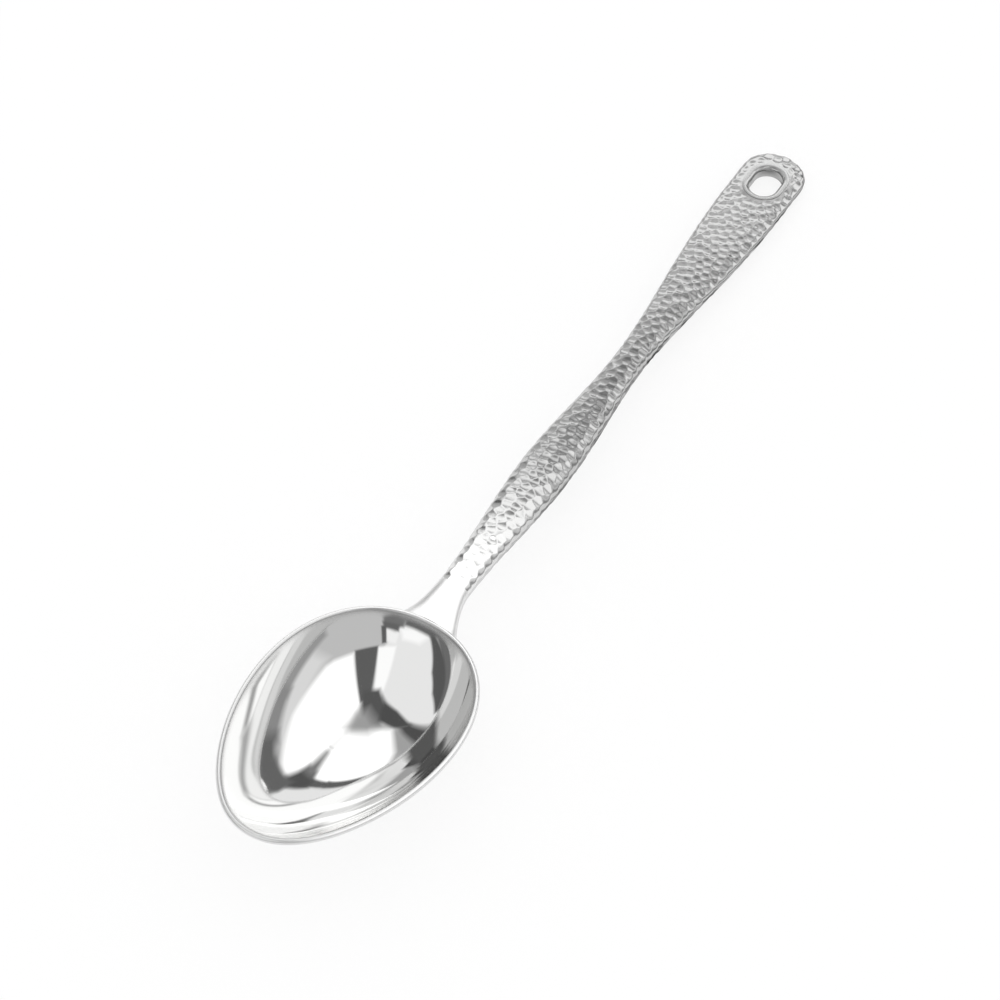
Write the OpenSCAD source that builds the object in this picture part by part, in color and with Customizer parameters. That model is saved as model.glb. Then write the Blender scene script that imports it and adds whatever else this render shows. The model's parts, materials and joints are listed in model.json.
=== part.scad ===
// Serving spoon with a deep egg-shaped bowl and a hollow two-shell handle.
// It lies as on a table: X runs from the bowl's tip to the handle's end, Z is up,
// and the origin is under the middle of its length, at the level that it rests on.

/* [Overall] */
// Length from the tip of the bowl to the end of the handle
overall_length = 330; // [310:2:350]

/* [Bowl] */
// Length of the bowl from its tip to its heel
bowl_length = 97; // [88:1:108]
// Greatest width of the bowl over its rim
bowl_width = 67; // [58:1:76]
// Depth of the bowl below its rim, between the middles of the sheet
bowl_depth = 23; // [18:0.5:27]
// Thickness of the bowl's sheet
bowl_wall = 1.8; // [1.2:0.1:2.4]
// Height of the rim's tip above the middle of the rim, and of the middle above the heel
tip_lift = 7.6; // [0:0.2:10]
// Share by which the rim is wider towards the heel and narrower towards the tip
egg_share = 0.16; // [0:0.02:0.24]
// Distance from the middle of the bowl to its deepest point, towards the heel
deepest_offset = 5; // [0:0.5:8]

/* [Neck] */
// Length of the neck that shows between the bowl's heel and the handle's mouth
neck_length = 14; // [10:0.5:18]
// Drop of the handle's axis from the heel of the rim to the mouth
neck_drop = 0.8; // [0:0.1:2]
// Width that the neck gains on each side where it spreads on to the rim
neck_flare = 4.2; // [3:0.1:6]
// Depth of the neck's root below the handle's axis, where it meets the bowl
neck_keel = 6.5; // [5:0.5:8]
// Length of the spigot that plugs the handle's mouth
spigot_length = 10; // [6:0.5:14]

/* [Handle outline] */
// Width at the mouth, where the handle is narrowest towards the bowl
mouth_width = 10.6; // [9.5:0.1:13]
// Width of the swelling in the middle of the handle
swell_width = 16.8; // [13:0.2:20]
// Width of the waist
waist_width = 10.6; // [9.5:0.1:13]
// Width of the paddle at the far end
paddle_width = 22.6; // [19.8:0.2:26]
// Distance from the handle's end to the widest place of the paddle
paddle_station = 23; // [20:1:28]
// Distance from the handle's end to the waist
waist_station = 110; // [95:1:125]
// Distance from the handle's end to the middle swelling
swell_station = 164; // [150:1:175]
// Length of the rounded end of the outline
end_round = 12; // [8:0.5:16]

/* [Handle section] */
// Thickness of the handle at its mouth
mouth_thick = 7; // [6.6:0.1:8]
// Thickness of the handle at the middle swelling
swell_thick = 9; // [7.6:0.1:11]
// Thickness of the handle at the waist
waist_thick = 7.2; // [6.6:0.1:9]
// Thickness of the handle at the paddle
paddle_thick = 4.6; // [4.2:0.1:6]
// Thickness of the sheet of both handle shells
shell_wall = 1; // [0.7:0.1:1.2]
// Gap between the spigot and the shells round it, filled by the braze
braze_gap = 0.1; // [0.05:0.01:0.2]

/* [Hanging hole] */
// Width of the oval hole inside the sleeve that lines it
hole_width = 9.6; // [8:0.1:10.4]
// Length of the oval hole along the handle
hole_length = 13.4; // [11:0.1:14]
// Distance from the handle's end to the middle of the hole
hole_station = 15.3; // [15:0.1:18]
// Wall of the sleeve
sleeve_wall = 0.8; // [0.6:0.1:1]
// Width of the sleeve's rolled lip beyond its wall
lip_reach = 0.8; // [0.5:0.1:1]
// Height of the lip above the flat that it sits on
lip_height = 0.4; // [0.3:0.05:0.6]
// Radius that leads from the straight wall of the hole out over the lip
lip_radius = 1.5; // [1:0.05:1.6]
// Gap between the sleeve and the shells round it
sleeve_gap = 0.1; // [0.05:0.01:0.2]

/* [Tang rod] */
// Diameter of the rod
rod_d = 3; // [2.4:0.1:3.2]
// Depth of the rod in the neck
rod_seat = 12; // [8:0.5:14]
// Length of the rod that stands in the hollow handle beyond the spigot
rod_reach = 55; // [40:1:70]
// Gap round the rod in its seat
rod_gap = 0.05; // [0.02:0.01:0.1]

/* [Hidden] */

// Shares, powers and counts that shape the curves
rim_square_share = 0.95;
section_round_power = 2.3;
section_flat_power = 3.2;
end_outline_power = 2.6;
end_thin_share = 0.35;
end_turn_share = 0.9;
waist_skew_share = 0.85;
spigot_steps = 2;
flare_power = 1.8;
flare_end_share = 1.3;
slope_step = 0.001;
edge_steps = 4;
bowl_rings = 12;
bowl_sides = 60;
body_steps = 30;
end_steps = 8;
section_steps = 14;
neck_steps = 8;
lip_steps = 6;
round_sides = 64;
settle_rounds = 4;

// How far one shape runs into or past another where they are joined or cut
overrun = 1;

function mix(a, b, t) = a + (b - a) * t;
function ease(t) = (1 - cos(180 * min(max(t, 0), 1))) / 2;
function unit(v) = v / norm(v);

// Bowl: the middle of the sheet, drawn down from an egg-shaped rim
bowl_mid_x = (bowl_length - overall_length) / 2;
heel_x = bowl_length - overall_length / 2;
half_length = (bowl_length - bowl_wall) / 2;
egg_peak = max([for (i = [0:bowl_sides]) egg(180 * i / bowl_sides)]);
half_width = (bowl_width - bowl_wall) / 2 / egg_peak;

// The rim goes round from the tip at 0 degrees to the heel at 180 degrees
function egg(a) = pow(abs(sin(a)), rim_square_share) * (1 - egg_share * cos(a));
function rim_x(a) = -half_length * cos(a);
function rim_y(a) = half_width * sign(sin(a)) * egg(a);
function rim_height(x) = -tip_lift * x / half_length;

// From the deepest point out to the rim the sheet follows an arc of a circle
function arc_drop(reach, u) =
    let (r = (reach * reach + bowl_depth * bowl_depth) / (2 * bowl_depth))
        sqrt(r * r - reach * reach * u * u) - (r - bowl_depth);
function bowl_point(u, a) =
    let (dx = rim_x(a) - deepest_offset, dy = rim_y(a), x = deepest_offset + dx * u)
        [x, dy * u, rim_height(x) - arc_drop(norm([dx, dy]), u)];
function bowl_out(u, a) = unit(bowl_point(u, a) - bowl_point(u - slope_step, a));
function bowl_round(u, a) = bowl_point(u, a + 360 * slope_step) - bowl_point(u, a);
function bowl_normal(u, a) = unit(cross(bowl_out(u, a), bowl_round(u, a)));
function ring_share(i) = sin(90 * i / bowl_rings);

// The underside rests at zero, and the handle's axis starts from the heel of the rim
bowl_low = min([
    for (i = [0:bowl_rings], j = [0:bowl_sides])
        bowl_point(ring_share(i), 180 * j / bowl_sides).z
]);
rim_mid_z = bowl_wall / 2 - bowl_low;
mouth_x = heel_x + neck_length;
mouth_z = rim_mid_z - tip_lift - neck_drop;

// Handle: half widths and half thicknesses along its own axis, from the mouth at 0
axis_run = overall_length / 2 - mouth_x;
function swell_at(run) = run - swell_station;
function waist_at(run) = run - waist_station;
function along(x, run, mouth, swell, waist, paddle) =
    x < swell_at(run) ? mix(mouth, swell, ease(x / swell_at(run)))
    : x < waist_at(run) ? mix(swell, waist, ease((x - swell_at(run)) / (swell_station - waist_station)))
    : mix(waist, paddle, ease(pow(
        max(x - waist_at(run), 0) / (waist_station - paddle_station), waist_skew_share)));
function half_wide(x, run) = along(x, run, mouth_width, swell_width, waist_width, paddle_width) / 2;
function half_thick(x, run) = along(x, run, mouth_thick, swell_thick, waist_thick, paddle_thick) / 2;
function flatness(x, run) =
    mix(section_round_power, section_flat_power, ease((x - waist_at(run)) / (waist_station - paddle_station)));

// The outline closes on a rounded end: how far along it is, and how wide and thick it is left
function end_turn(i) = 90 * end_turn_share * i / end_steps;
function end_along(i) = pow(sin(end_turn(i)) / sin(end_turn(end_steps)), 2 / end_outline_power);
function end_wide(i) = cos(end_turn(i));
function end_thick(i) = pow(cos(end_turn(i)), end_thin_share);

// A station is [place, half width, half thickness, flatness, height], drawn in by inset
function station(x, run, inset, wide, thick) = [
    x,
    (half_wide(x, run) - inset) * wide,
    (half_thick(x, run) - inset) * thick,
    flatness(x, run),
    0
];
function stations(run, inset, first) = concat(
    [for (i = [0:body_steps - 1]) station(mix(first, run - end_round, i / body_steps), run, inset, 1, 1)],
    [
        for (i = [0:end_steps])
            station(run - end_round + (end_round - inset) * end_along(i), run, inset, end_wide(i), end_thick(i))
    ]
);

// Hanging hole: the sleeve's lip sits on a flat sunk into the crown of each shell
hole_stretch = hole_length - hole_width;
sleeve_r = hole_width / 2 + sleeve_wall;
lip_r = hole_width / 2 + lip_radius + lip_reach;
function seat_depth(run) =
    let (x = run - hole_station, power = flatness(x, run))
        half_thick(x, run) * pow(1 - pow(lip_r / half_wide(x, run), power), 1 / power);

// The handle slopes down from the mouth until its shells or the lip rest at zero
function drop_of(x, depth, tilt) = x * sin(tilt) + depth * cos(tilt);
function lip_drop(run, tilt) =
    drop_of(run - hole_station + hole_stretch / 2 + lip_r, seat_depth(run) + lip_height, tilt);
function reach_down(tilt) =
    let (run = axis_run / cos(tilt))
        max(lip_drop(run, tilt), max([for (s = stations(run, 0, 0)) drop_of(s[0], s[2], tilt)]));
function settle(tilt, rounds) =
    rounds == 0 ? tilt : settle(tilt + atan((mouth_z - reach_down(tilt)) / axis_run), rounds - 1);
handle_tilt = settle(0, settle_rounds);
handle_run = axis_run / cos(handle_tilt);

// Points of the rounded section at a station, from the left edge round over the top
function rounded(v, power) = sign(v) * pow(abs(v), 2 / power);
function section(s, steps) = [
    for (j = [0:steps])
        let (a = 180 * j / section_steps)
            [s[0], s[1] * rounded(cos(a), s[3]), s[4] + s[2] * rounded(sin(a), s[3])]
];

function band(a, b, count) = [
    for (j = [0:count - 1])
        each [[a + j, b + j, b + j + 1], [a + j, b + j + 1, a + j + 1]]
];
function closed_band(a, b, sides) = [
    for (j = [0:sides - 1])
        let (k = (j + 1) % sides)
            each [[a + j, b + j, b + k], [a + j, b + k, a + k]]
];

// Closed solid from a stack of closed rings between two end points
module ringed(first, rings, last) {
    sides = len(rings[0]);
    stack = len(rings) - 1;
    polyhedron(
        points = [first, each [for (r = rings) each r], last],
        faces = [
            for (j = [0:sides - 1]) [0, 1 + j, 1 + (j + 1) % sides],
            for (i = [0:stack - 1]) each closed_band(1 + i * sides, 1 + (i + 1) * sides, sides),
            for (j = [0:sides - 1])
                [1 + (stack + 1) * sides, 1 + stack * sides + (j + 1) % sides, 1 + stack * sides + j]
        ]
    );
}

function bowl_ring(u, side) = [
    for (j = [0:bowl_sides - 1])
        let (a = 360 * j / bowl_sides)
            bowl_point(u, a) + side * bowl_wall / 2 * bowl_normal(u, a)
];
function edge_ring(turn) = [
    for (j = [0:bowl_sides - 1])
        let (a = 360 * j / bowl_sides)
            bowl_point(1, a) + bowl_wall / 2 * (sin(turn) * bowl_out(1, a) - cos(turn) * bowl_normal(1, a))
];
function pole(side) = bowl_point(0, 0) - [0, 0, side * bowl_wall / 2];
function outer_rings() = [for (i = [bowl_rings:-1:1]) bowl_ring(ring_share(i), 1)];

module bowl() {
    inside = [for (i = [1:bowl_rings]) bowl_ring(ring_share(i), -1)];
    edge = [for (i = [1:edge_steps - 1]) edge_ring(180 * i / edge_steps)];
    color("silver")
        translate([bowl_mid_x, 0, rim_mid_z])
            ringed(pole(-1), concat(inside, edge, outer_rings()), pole(1));
}

// Everything inside the bowl's outer face, carried straight up from the crest of the rim
module bowl_mould() {
    rise = mouth_thick + neck_keel + tip_lift;
    lip = [for (p = edge_ring(90)) p + [0, 0, rise]];
    edge = [for (i = [edge_steps / 2:edge_steps - 1]) edge_ring(180 * i / edge_steps)];
    translate([bowl_mid_x, 0, rim_mid_z])
        ringed([0, 0, rise], concat([lip], edge, outer_rings()), pole(1));
}

module on_handle() {
    translate([mouth_x, 0, mouth_z])
        rotate([0, handle_tilt, 0])
            children();
}

// Solid through a row of whole sections
module lofted(row) {
    last = row[len(row) - 1];
    rings = [for (s = row) section(s, 2 * section_steps - 1)];
    ringed([row[0][0], 0, row[0][4]], rings, [last[0], 0, last[4]]);
}

// Neck: a root that spreads from the handle's mouth down on to the bowl's heel
crest_z = bowl_wall / 2 + neck_drop - neck_length * sin(handle_tilt);
root_length = neck_length + neck_keel + bowl_wall + overrun;
function neck_station(x) =
    let (
        t = -x / neck_length,
        top = mix(mouth_thick / 2, crest_z, ease(t)),
        low = -mix(mouth_thick / 2, neck_keel, ease(t))
    )
        [
            x,
            mouth_width / 2 + neck_flare * pow(min(t, flare_end_share), flare_power),
            (top - low) / 2,
            section_round_power,
            (top + low) / 2
        ];

module neck() {
    sheet = shell_wall + braze_gap;
    root = [for (i = [neck_steps:-1:0]) neck_station(-root_length * i / neck_steps)];
    spigot = [
        for (i = [0:spigot_steps])
            station(mix(-overrun, spigot_length, i / spigot_steps), handle_run, sheet, 1, 1)
    ];
    color("gainsboro")
        difference() {
            on_handle()
                union() {
                    lofted(root);
                    lofted(spigot);
                }
            bowl_mould();
            on_handle()
                translate([spigot_length - rod_seat, 0, 0])
                    rotate([0, 90, 0])
                        cylinder(h = rod_seat + overrun, r = rod_d / 2 + rod_gap, $fn = round_sides);
        }
}

module tang_rod() {
    color("slategray")
        on_handle()
            translate([spigot_length - rod_seat, 0, 0])
                rotate([0, 90, 0])
                    union() {
                        cylinder(h = rod_seat + rod_reach, d = rod_d, $fn = round_sides);
                        translate([0, 0, rod_seat + rod_reach])
                            sphere(d = rod_d, $fn = round_sides);
                    }
}

// Upper half of the hollow handle: an outer skin, an inner skin and the seam between them
module half_shell() {
    outer = stations(handle_run, 0, 0);
    inner = stations(handle_run, shell_wall, 0);
    m = section_steps;
    n = len(outer) - 1;
    side = m + 1;
    away = side * (n + 1);
    polyhedron(
        points = concat(
            [for (s = outer) each section(s, m)],
            [for (s = inner) each section(s, m)]
        ),
        faces = [
            each band(away, 0, m),
            for (i = [0:n - 1])
                let (a = i * side, b = a + side)
                    each concat(
                        band(a, b, m),
                        band(away + b, away + a, m),
                        [
                            [b, a, away + a], [b, away + a, away + b],
                            [a + m, b + m, away + b + m], [a + m, away + b + m, away + a + m]
                        ]
                    ),
            [for (j = [m:-1:0]) n * side + j],
            [for (j = [0:m]) away + n * side + j],
            [n * side + m, n * side, away + n * side, away + n * side + m]
        ]
    );
}

hole_at = handle_run - hole_station;
seat_z = seat_depth(handle_run);

// Straight-sided oval block on the hole's middle, for a given height and end radius
module oval(base, height, radius) {
    translate([hole_at, 0, base]) {
        for (side = [-1, 1])
            translate([side * hole_stretch / 2, 0, 0])
                cylinder(h = height, r = radius, $fn = round_sides);
        translate([-hole_stretch / 2, -radius, 0])
            cube([hole_stretch, 2 * radius, height]);
    }
}

module drilled_half() {
    difference() {
        half_shell();
        oval(-overrun, paddle_thick, sleeve_r + sleeve_gap);
        oval(seat_z, paddle_thick, lip_r + sleeve_gap);
    }
}

module handle_upper_shell() {
    color("lightgray")
        on_handle()
            drilled_half();
}

module handle_lower_shell() {
    color("darkgray")
        on_handle()
            mirror([0, 0, 1])
                drilled_half();
}

// Section of the sleeve above its middle, from the hole over the lip to the outer wall
function arc(x, y, r, turn_from, turn_to) = [
    for (i = [0:lip_steps])
        let (a = mix(turn_from, turn_to, i / lip_steps))
            [x + r * cos(a), y + r * sin(a)]
];
function sleeve_section() =
    let (top = seat_z + lip_height, bead = lip_height / 2)
        concat(
            arc(hole_width / 2 + lip_radius, top - lip_radius, lip_radius, 180, 90),
            arc(lip_r - bead, seat_z + bead, bead, 90, -90),
            [[sleeve_r, seat_z]]
        );

// One round end of the sleeve with one of its straight sides
module sleeve_half() {
    above = sleeve_section();
    below = [for (i = [len(above) - 1:-1:0]) [above[i].x, -above[i].y]];
    translate([hole_stretch / 2, 0, 0])
        rotate([0, 0, -90])
            rotate_extrude(angle = 180, $fn = round_sides)
                polygon(concat(above, below));
    translate([-hole_stretch / 2, 0, 0])
        rotate([90, 0, 90])
            linear_extrude(height = hole_stretch)
                polygon(concat(above, below));
}

module hole_sleeve() {
    color("whitesmoke")
        on_handle()
            translate([hole_at, 0, 0])
                for (turn = [0, 180])
                    rotate([0, 0, turn])
                        sleeve_half();
}

bowl();
neck();
tang_rod();
handle_upper_shell();
handle_lower_shell();
hole_sleeve();
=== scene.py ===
"""Serving spoon of stainless steel: mirror bowl, neck and hollow hammered handle.

The sizes that the classes hold are in millimetres.
"""

import json
import logging
import math
from collections.abc import Sequence
from dataclasses import dataclass, field
from enum import Enum
from functools import reduce
from typing import Any

import bmesh
import bpy
import numpy as np
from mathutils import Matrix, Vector


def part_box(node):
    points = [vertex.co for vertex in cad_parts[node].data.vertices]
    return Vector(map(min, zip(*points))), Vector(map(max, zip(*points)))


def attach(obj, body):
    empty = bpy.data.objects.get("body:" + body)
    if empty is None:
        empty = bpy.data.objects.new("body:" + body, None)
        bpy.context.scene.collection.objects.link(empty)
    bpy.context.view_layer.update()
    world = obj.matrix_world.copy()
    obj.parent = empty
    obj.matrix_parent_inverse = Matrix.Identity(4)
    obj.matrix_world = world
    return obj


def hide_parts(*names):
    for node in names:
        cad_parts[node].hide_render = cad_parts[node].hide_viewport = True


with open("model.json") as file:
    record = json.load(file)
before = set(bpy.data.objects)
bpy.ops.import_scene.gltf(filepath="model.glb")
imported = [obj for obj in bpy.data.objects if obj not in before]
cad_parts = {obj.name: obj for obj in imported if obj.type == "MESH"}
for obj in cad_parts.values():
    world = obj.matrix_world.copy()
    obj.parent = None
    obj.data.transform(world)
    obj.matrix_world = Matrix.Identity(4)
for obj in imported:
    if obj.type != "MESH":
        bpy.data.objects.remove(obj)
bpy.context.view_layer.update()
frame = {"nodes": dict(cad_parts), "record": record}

MM = 0.001
SHARP_ANGLE = 40.0
WELD_DISTANCE = 1e-7
SHORTEST_CURVE = 1e-9
SHORTEST_VECTOR = 1e-12
ARC_SAMPLES = 12
LOG = logging.getLogger("serving_spoon")


# Small maths


def mix(low: float, high: float, share: float) -> float:
    """Return the value that lies a share of the way from low to high."""
    return low + (high - low) * share


def ease(share: float) -> float:
    """Return a share from 0 to 1 with a soft start and a soft end."""
    return (1 - math.cos(math.pi * min(max(share, 0.0), 1.0))) / 2


def unit_rows(rows: np.ndarray) -> np.ndarray:
    """Return the rows of an array of vectors, each made one unit long."""
    return rows / np.maximum(np.linalg.norm(rows, axis=-1, keepdims=True), SHORTEST_VECTOR)


# Mesh making


def grid_faces(rows: int, columns: int, first: int, wraps: bool) -> list[tuple[int, ...]]:
    """Return the four-sided faces of a grid of points.

    Args:
        rows: Number of rows of points.
        columns: Number of points in each row.
        first: Index of the grid's first point.
        wraps: Whether each row closes on itself.

    Returns:
        The faces as tuples of point indices.
    """
    faces = []
    for i in range(rows - 1):
        for j in range(columns if wraps else columns - 1):
            k = (j + 1) % columns
            a, b = first + i * columns, first + (i + 1) * columns
            faces.append((a + j, b + j, b + k, a + k))
    return faces


def globe_faces(rings: int, sides: int) -> list[tuple[int, ...]]:
    """Return the faces of rings of points between a first and a last single point.

    Args:
        rings: Number of rings.
        sides: Number of points in each ring.

    Returns:
        The faces as tuples of point indices.
    """
    faces = grid_faces(rings, sides, 1, True)
    last = rings * sides + 1
    for j in range(sides):
        k = (j + 1) % sides
        faces += [(0, 1 + j, 1 + k), (last, last - sides + k, last - sides + j)]
    return faces


def settle_mesh(mesh: bpy.types.Mesh, sharp_angle: float) -> None:
    """Merge doubles, turn the faces outwards and keep only true corners sharp.

    Args:
        mesh: The mesh to settle, in place.
        sharp_angle: Angle in degrees past which an edge stays sharp.
    """
    work = bmesh.new()
    work.from_mesh(mesh)
    bmesh.ops.remove_doubles(work, verts=work.verts, dist=WELD_DISTANCE)
    bmesh.ops.dissolve_degenerate(work, edges=work.edges, dist=WELD_DISTANCE)
    bmesh.ops.recalc_face_normals(work, faces=work.faces)
    limit = math.radians(sharp_angle)
    for edge in work.edges:
        edge.smooth = edge.calc_face_angle(0.0) < limit
    for face in work.faces:
        face.smooth = True
    work.to_mesh(mesh)
    work.free()


def new_object(
    name: str,
    points: np.ndarray,
    faces: Sequence[Sequence[int]],
    sharp_angle: float = SHARP_ANGLE,
    values: dict[str, np.ndarray] | None = None,
) -> bpy.types.Object:
    """Make an object of points in millimetres and faces.

    Args:
        name: Name of the object and of its mesh.
        points: Rows of coordinates in the spoon's frame, in millimetres.
        faces: Tuples of point indices.
        sharp_angle: Angle in degrees past which an edge stays sharp.
        values: Numbers or vectors to keep on the points, by name.

    Returns:
        The object, linked to the scene, with its place in its mesh.
    """
    mesh = bpy.data.meshes.new(name)
    mesh.from_pydata((points * MM).tolist(), [], [tuple(f) for f in faces])
    for label, rows in (values or {}).items():
        kind, key = ("FLOAT", "value") if rows.ndim == 1 else ("FLOAT_VECTOR", "vector")
        layer = mesh.attributes.new(label, kind, "POINT")
        layer.data.foreach_set(key, rows.astype(np.float32).ravel())
    settle_mesh(mesh, sharp_angle)
    made = bpy.data.objects.new(name, mesh)
    bpy.context.scene.collection.objects.link(made)
    return made


def points_of(mesh: bpy.types.Mesh) -> np.ndarray:
    """Return a mesh's points in millimetres, one row each."""
    return np.array([point.co for point in mesh.vertices]) / MM


def freeze(piece: bpy.types.Object) -> None:
    """Turn a piece's modifiers into its plain mesh and take them off.

    Args:
        piece: The piece with its modifiers.
    """
    graph = bpy.context.evaluated_depsgraph_get()
    graph.update()
    plain = bpy.data.meshes.new_from_object(piece.evaluated_get(graph))
    piece.modifiers.clear()
    plain.name = piece.name
    piece.data = plain


def discard(helper: bpy.types.Object) -> None:
    """Remove an object that only helped to shape another."""
    bpy.data.objects.remove(helper, do_unlink=True)


def cut_away(piece: bpy.types.Object, *cutters: bpy.types.Object) -> None:
    """Cut closed helper shapes out of a piece and remove the helpers.

    Args:
        piece: The piece that is cut.
        *cutters: Closed shapes whose inside is taken away.
    """
    for cutter in cutters:
        cut = piece.modifiers.new("cut", "BOOLEAN")
        cut.operation = "DIFFERENCE"
        cut.solver = "EXACT"
        cut.object = cutter
    freeze(piece)
    for cutter in cutters:
        discard(cutter)
    settle_mesh(piece.data, SHARP_ANGLE)


# Node trees


class Wire:
    """One output socket of a node tree, with Python's operators for its maths."""

    def __init__(self, bench: "Bench", socket: bpy.types.NodeSocket) -> None:
        """Keep the bench that builds the tree and the socket that gives the value."""
        self.bench = bench
        self.socket = socket

    def maths(self, operation: str, *values: Any, clamp: bool = False) -> "Wire":
        """Add one Math node.

        Args:
            operation: The node's operation.
            *values: Numbers or wires for its inputs.
            clamp: Whether the result is held between 0 and 1.

        Returns:
            The result as a wire.
        """
        settings = {"operation": operation, "use_clamp": clamp}
        return self.bench.wire("ShaderNodeMath", settings, dict(enumerate(values)))

    def __add__(self, other: Any) -> "Wire":
        """Return self + other."""
        return self.maths("ADD", self, other)

    def __radd__(self, other: Any) -> "Wire":
        """Return other + self."""
        return self.maths("ADD", other, self)

    def __sub__(self, other: Any) -> "Wire":
        """Return self - other."""
        return self.maths("SUBTRACT", self, other)

    def __rsub__(self, other: Any) -> "Wire":
        """Return other - self."""
        return self.maths("SUBTRACT", other, self)

    def __mul__(self, other: Any) -> "Wire":
        """Return self * other."""
        return self.maths("MULTIPLY", self, other)

    def __rmul__(self, other: Any) -> "Wire":
        """Return other * self."""
        return self.maths("MULTIPLY", other, self)

    def __truediv__(self, other: Any) -> "Wire":
        """Return self / other."""
        return self.maths("DIVIDE", self, other)

    def __rtruediv__(self, other: Any) -> "Wire":
        """Return other / self."""
        return self.maths("DIVIDE", other, self)

    def __pow__(self, power: Any) -> "Wire":
        """Return self to a power."""
        return self.maths("POWER", self, power)

    def __rpow__(self, base: Any) -> "Wire":
        """Return a base to the power of self."""
        return self.maths("POWER", base, self)

    def __neg__(self) -> "Wire":
        """Return self with its sign turned."""
        return self.maths("MULTIPLY", self, -1.0)

    def least(self, other: Any) -> "Wire":
        """Return the smaller of self and other."""
        return self.maths("MINIMUM", self, other)

    def most(self, other: Any) -> "Wire":
        """Return the larger of self and other."""
        return self.maths("MAXIMUM", self, other)

    def held(self) -> "Wire":
        """Return self held between 0 and 1."""
        return self.maths("ADD", self, 0.0, clamp=True)

    def between(self, low: Any, high: Any) -> "Wire":
        """Return low where self is 0 and high where self is 1."""
        return low + self * (high - low)

    def ramp(self, start: float, run: float) -> "Wire":
        """Return 0 up to a start, rising to 1 over a run."""
        return ((self - start) / run).held()

    def part(self, axis: str) -> "Wire":
        """Return the X, Y or Z of self, which is a vector."""
        return self.bench.wire("ShaderNodeSeparateXYZ", None, {0: self}, axis)

    def dot(self, normal: Vector) -> "Wire":
        """Return how far self, which is a vector, reaches along a normal."""
        settings = {"operation": "DOT_PRODUCT"}
        return self.bench.wire("ShaderNodeVectorMath", settings, {0: self, 1: normal}, "Value")

    def share_of(self, axis: str, run: tuple[float, float]) -> "Wire":
        """Return 0 before a run in millimetres along an axis, rising to 1 after it."""
        start, end = (value * MM for value in run)
        return self.part(axis).ramp(start, end - start)


class Bench:
    """Builds one node tree, node by node."""

    def __init__(self, tree: bpy.types.NodeTree) -> None:
        """Start on an empty tree."""
        self.tree = tree
        tree.nodes.clear()

    def node(
        self,
        kind: str,
        settings: dict[str, Any] | None = None,
        sockets: dict[Any, Any] | None = None,
    ) -> bpy.types.Node:
        """Add a node.

        Args:
            kind: The node's type.
            settings: Its own settings, set first.
            sockets: Numbers, colours or wires for its inputs, by name or place.

        Returns:
            The node.
        """
        made = self.tree.nodes.new(kind)
        for name, value in (settings or {}).items():
            setattr(made, name, value)
        for key, value in (sockets or {}).items():
            if isinstance(value, Wire):
                self.tree.links.new(value.socket, made.inputs[key])
            else:
                made.inputs[key].default_value = value
        return made

    def wire(
        self,
        kind: str,
        settings: dict[str, Any] | None = None,
        sockets: dict[Any, Any] | None = None,
        output: Any = 0,
    ) -> Wire:
        """Add a node and return one of its outputs, by name or place."""
        return Wire(self, self.node(kind, settings, sockets).outputs[output])

    def place(self) -> Wire:
        """Return where the surface lies in the object's own frame."""
        return self.wire("ShaderNodeTexCoord", output="Object")

    def noise(self, place: Wire, scale: float, detail: float) -> Wire:
        """Return a soft noise from 0 to 1 over a place."""
        sockets = {"Vector": place, "Scale": scale, "Detail": detail}
        return self.wire("ShaderNodeTexNoise", None, sockets)

    def end(self, kind: str, share: Wire, first: Wire, second: Wire) -> None:
        """End the tree in an output node with a mix of two shaders."""
        both = self.wire("ShaderNodeMixShader", None, {0: share, 1: first, 2: second})
        self.node(kind, None, {"Surface": both})

    def light_path(self, *outputs: str) -> list[Wire]:
        """Return outputs of one Light Path node, by name."""
        path = self.node("ShaderNodeLightPath")
        return [Wire(self, path.outputs[output]) for output in outputs]


def new_material(name: str) -> tuple[bpy.types.Material, Bench]:
    """Make a material with an empty tree.

    Args:
        name: The material's name.

    Returns:
        The material and the bench on its tree.
    """
    made = bpy.data.materials.new(name)
    made.use_nodes = True
    return made, Bench(made.node_tree)


# Finishes


class Pattern(Enum):
    """How the polishing of a steel surface runs."""

    ROUND_THE_RIM = "round the rim"
    ALL_OVER = "all over"
    ALONG_THE_BAR = "along the bar"


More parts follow.
